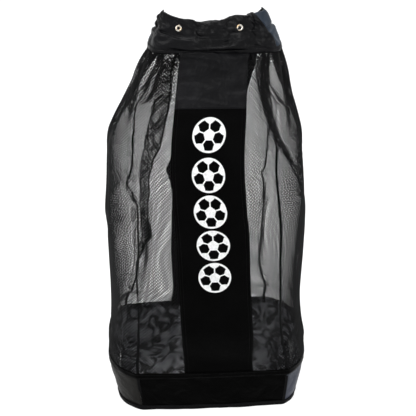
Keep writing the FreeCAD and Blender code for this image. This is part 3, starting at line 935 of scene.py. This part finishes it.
# its edge is turned up inside the boot and caught in the base seam
turned_up = [
    cloth_at(edge_u, np.full(ROUND, rise), lift)
    for rise, lift in ((0.0006, 0.0006), (0.004, -0.0014), (0.013, -0.0030))
]
points = np.vstack([np.dstack([x, y, z]), turned_up])
vertices = points.reshape(-1, 3).tolist()
vertices.append([float(middle[0]), float(middle[1]), float(z[0].mean())])
faces = [face[::-1] for face in grid_faces(ROUND, len(points), closed=True)]
faces += [(len(vertices) - 1, i, (i + 1) % ROUND) for i in range(ROUND)]
base = new_piece("base_panel_cloth", vertices, faces)
give_wall(base, 0.0018, offset=-1)
base.data.shade_smooth()
base.data.materials.append(coated_face)
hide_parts("base_panel")
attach(base, "bag")

# ---- Collar --------------------------------------------------------------------------------
# Light satin-faced nylon, doubled: it is sewn over the gathered net, goes up, turns
# over at the mouth and comes down inside, which leaves a channel for a drawcord. It
# is cut wider and taller than the space it has, so it crumples.

COLLAR_GIRTH = 0.690
COLLAR_TALL = 0.172
MOUTH_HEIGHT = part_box("collar_front")[1][2]
COLLAR_FOOT = NECK_HEIGHT - 0.003
EYELET_HEIGHT = (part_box("eyelet_left")[0][2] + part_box("eyelet_left")[1][2]) / 2
collar_columns, collar_rows = 168, 46
collar_u = np.arange(collar_columns) / collar_columns * COLLAR_GIRTH
# how far the mouth's edge has sunk, round the collar from the middle of the front to the right
edge_at = (0.01, 0.03, 0.07, 0.10, 0.15, 0.17, 0.20, 0.26, 0.30, 0.36)
edge_at += (0.50, 0.64, 0.70, 0.75, 0.79, 0.81, 0.85, 0.90, 0.95)
edge_sunk = np.array([20, 22, 17, 8, 7, 11, 5, 0, 10, 25, 36, 30, 12, 0, 0, 5, 12, 19, 23]) / 1000
# folds at the mouth: place round the collar, span, share, and which way each lies
collar_tucks = [
    (-0.245, 0.060, 0.9, 1),
    (-0.150, 0.055, 0.8, -1),
    (-0.055, 0.050, 0.5, 1),
    (0.045, 0.050, 0.6, -1),
    (0.118, 0.060, 1.2, -1),
    (0.190, 0.050, 0.5, 1),
    (0.262, 0.060, 1.0, -1),
    (0.340, 0.055, 0.8, 1),
]
collar_folded = np.zeros((collar_rows, collar_columns, 3))
for j in range(collar_rows):
    part = j / (collar_rows - 1)
    rise = min(part, 1 - part) * 2
    inner = smooth(part, 0.46, 0.54)
    wide = np.interp(rise, (0, 0.5, 1), (0.290, 0.274, 0.236)) - 0.006 * inner
    deep = np.interp(rise, (0, 0.25, 0.55, 1), (0.080, 0.083, 0.074, 0.028)) - 0.006 * inner
    line, along = outline(wide, deep, deep / 2 - 0.002, np.interp(rise, (0, 1), (0.0185, 0.0150)))
    line = line + np.array([0, np.interp(rise, (0, 0.55, 1), (0, -0.001, -0.002))])
    spare = max(COLLAR_GIRTH - along[-1], 0)
    angle = np.zeros(collar_columns)
    leaning = np.zeros(collar_columns)
    total = sum(share for _, _, share, _ in collar_tucks)
    for place, span, share, lean in collar_tucks:
        wander = place + 0.010 * (1 - rise) * lean + 0.004 * math.sin(part * 40 + place * 50)
        spot = ((collar_u - wander + span / 2) % COLLAR_GIRTH) / span
        bend = np.interp(spare * share / total / span, sine_taken, sine_angle)
        angle += np.where(spot < 1, bend * np.sin(2 * math.pi * spot), 0)
        leaning = np.where(spot < 1, lean, leaning)
    step = COLLAR_GIRTH / collar_columns
    forward = np.r_[0, np.cumsum(np.cos(angle) * step)]
    inward = np.r_[0, np.cumsum(np.sin(angle) * step)]
    inward = (inward - np.linspace(0, inward[-1], len(inward)))[:-1]
    forward = forward[:-1] * along[-1] / forward[-1]
    round_it = (forward / along[-1]) % 1
    sunk = np.interp(round_it, edge_at, edge_sunk, period=1.0)
    height = COLLAR_FOOT + (MOUTH_HEIGHT + 0.005 - sunk - COLLAR_FOOT) * rise
    # the cloth above the eyelets is crushed; below them it is only dented
    crush = min(1, rise * 2.5) * (0.35 + 0.65 * smooth(rise, 0.5, 0.75))
    dents = np.sin(collar_u * 75 + rise * 9 + 2 * np.sin(rise * 7)) * np.sin(rise * 11 + collar_u * 38)
    dents += 0.3 * np.sin(collar_u * 140 - rise * 12 + 1.0) * np.sin(rise * 16 + 2.0)
    dents *= 1 - 0.9 * smooth(round_it, 0.14, 0.19) * (1 - smooth(round_it, 0.34, 0.40))
    pinch = 0.005 * math.exp(-(((rise - 0.60) / 0.07) ** 2))
    inward = 0.42 * inward + pinch + 0.0035 * crush * dents
    forward = forward + 0.8 * leaning * np.maximum(inward, 0) * rise
    x, y = set_in(line, along, forward, inward, 0.003)
    # the right end has slipped back behind the crushed front
    slipped = 0.012 * rise * smooth(round_it, 0.15, 0.20) * (1 - smooth(round_it, 0.27, 0.34))
    collar_folded[j, :, 0] = x
    collar_folded[j, :, 1] = y + slipped
    collar_folded[j, :, 2] = height
collar_firm = np.zeros(collar_rows)
collar_firm[:3] = 1
collar_firm[-3:] = 1
collar_draped = let_go(
    "collar_tube",
    collar_folded,
    COLLAR_GIRTH * 1.03,
    COLLAR_TALL,
    collar_firm,
    frames=14,
    stray=0.010,
    even=1,
    quality=7,
    mass=0.10,
    tension_stiffness=14,
    compression_stiffness=14,
    shear_stiffness=5,
    bending_stiffness=0.25,
    air_damping=3,
)
collar_at = surface_of(collar_draped, COLLAR_GIRTH, COLLAR_TALL)
# satin-faced nylon: long floats catch the light, so crumples show as soft bright lines on
# black. The back half's cool slate is painted light, a painted cool reflection of the sky in a copy of the
# black satin
satin = woven("satin_faced_nylon_black", ("#030304", "#08080b"), 0.3, 0.0010, 0.9, gloss=0.11)
satin_painted_cool_light = woven("satin_faced_nylon_painted_cool_light", ("#1c242e", "#28323e"), 0.42, 0.0010, 0.3, gloss=0.2)
MOUTH_V = COLLAR_TALL / 2
for node, (left, right), (low, high) in (
    ("collar_front", (-0.25, 0.21), (0.0, MOUTH_V)),
    ("collar_back", (0.21, 0.75), (0.0, MOUTH_V)),
    ("facing_front", (-0.25, 0.25), (MOUTH_V, COLLAR_TALL)),
    ("facing_back", (0.25, 0.75), (MOUTH_V, COLLAR_TALL)),
):
    sides = (left * COLLAR_GIRTH, right * COLLAR_GIRTH)
    half = cloth_patch(f"{node}_cloth", collar_at, *sides, low, high, 0.0003, 0.0007, 0.003)
    # the back half gets the copy with the painted cool reflection
    half.data.materials.append(satin_painted_cool_light if node == "collar_back" else satin)
    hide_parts(node)
    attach(half, "neck")

BAND_LOW, BAND_HIGH = 0.001, 0.010
band = cloth_patch(
    "neck_tape_web", collar_at, 0, COLLAR_GIRTH, BAND_LOW, BAND_HIGH, 0.0011, 0.0007, 0.003, ring=True
)
band.data.materials.append(satin)
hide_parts("neck_tape")
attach(band, "neck")
neck_rows = [((0, v), (COLLAR_GIRTH, v)) for v in (0.0025, 0.0080)]
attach(stitches("neck_stitches", collar_at, neck_rows, 0.0019), "neck")
channel_rows = [((0, 0.046), (COLLAR_GIRTH, 0.046))]
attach(stitches("channel_stitches", collar_at, channel_rows, 0.0011), "neck")

# ---- Eyelets ---------------------------------------------------------------------------------
# Small two-part eyelets of nickel-plated brass: a barrel with a rolled flange pushed
# through the collar from outside, and a washer clenched on it inside. The plating is
# thin, so the brass shows warm in the barrel.

# pressed brass with thin nickel plating: bright and silvery, warm where the brass shows
eyelet_metal, tree = empty_material("nickel_plated_brass")
spots = add(tree, "ShaderNodeTexCoord")
patches = add(
    tree, "ShaderNodeTexNoise", [("Vector", spots.outputs["Object"])], in_Scale=220.0, in_Detail=3.0
)
plating = add(tree, "ShaderNodeValToRGB", [("Fac", patches.outputs["Fac"])])
set_tones(plating, (0.38, srgb("#b9a07c")), (0.56, srgb("#c9c5bd")))
metal = add(
    tree, "ShaderNodeBsdfPrincipled", [("Base Color", plating.outputs[0])], in_Metallic=1.0, in_Roughness=0.27
)
add(tree, "ShaderNodeOutputMaterial", [("Surface", metal.outputs[0])])
for side in ("left", "right"):
    low, high = (Vector(corner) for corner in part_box(f"eyelet_{side}"))
    across = (low.x + high.x) / 2
    # the spot on the front of the collar that lies nearest the eyelet's place
    try_u, try_v = np.meshgrid(np.linspace(-0.12, 0.12, 97), np.linspace(0.02, MOUTH_V, 60))
    near = collar_at(try_u, try_v)
    k = np.argmin(np.hypot(near[..., 0] - across, near[..., 2] - EYELET_HEIGHT))
    u, v = try_u.ravel()[k], try_v.ravel()[k]
    # the clenched metal holds the cloth flat, so it faces the way the cloth round it does on the whole
    around = np.linspace(-0.009, 0.009, 5)
    near_u, near_v = np.meshgrid(u + around, v + around)
    facing = (collar_at(near_u, near_v, 0.004) - collar_at(near_u, near_v, 0.0)).mean(axis=(0, 1))
    out = Vector(facing).normalized()
    spot = Vector(collar_at(near_u, near_v, 0.0).mean(axis=(0, 1))) + out * 0.0024
    turn = out.to_track_quat("Z", "Y").to_matrix().to_4x4()
    flange = (high.x - low.x) / 2
    for name, ring_radius, tube_radius, down in (
        (f"eyelet_{side}_flange", flange - 0.0018, 0.0018, 0.0),
        (f"washer_{side}_ring", flange - 0.0014, 0.0014, -0.0045),
    ):
        bpy.ops.object.select_all(action="DESELECT")
        bpy.ops.mesh.primitive_torus_add(
            major_radius=ring_radius, minor_radius=tube_radius, major_segments=40, minor_segments=12
        )
        ring = bpy.context.object
        ring.name = name
        bpy.ops.object.mode_set(mode="EDIT")
        bpy.ops.mesh.select_all(action="SELECT")
        bpy.ops.transform.resize(value=(1, 1, 0.62))
        bpy.ops.object.mode_set(mode="OBJECT")
        if name.startswith("eyelet"):
            bpy.ops.mesh.primitive_cylinder_add(
                vertices=40,
                radius=flange - 0.0031,
                depth=0.0066,
                end_fill_type="NOTHING",
                location=(0, 0, -0.0029),
            )
            barrel = bpy.context.object
            give_wall(barrel, 0.0006, offset=-1)
            barrel.select_set(True)
            ring.select_set(True)
            bpy.context.view_layer.objects.active = ring
            bpy.ops.object.join()
        ring.data.transform(Matrix.Translation((0, 0, down)))
        ring.data.transform(Matrix.Translation(spot) @ turn)
        ring.data.shade_smooth()
        ring.data.materials.append(eyelet_metal)
        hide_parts(f"eyelet_{side}" if name.startswith("eyelet") else f"washer_{side}")
        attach(ring, "neck")
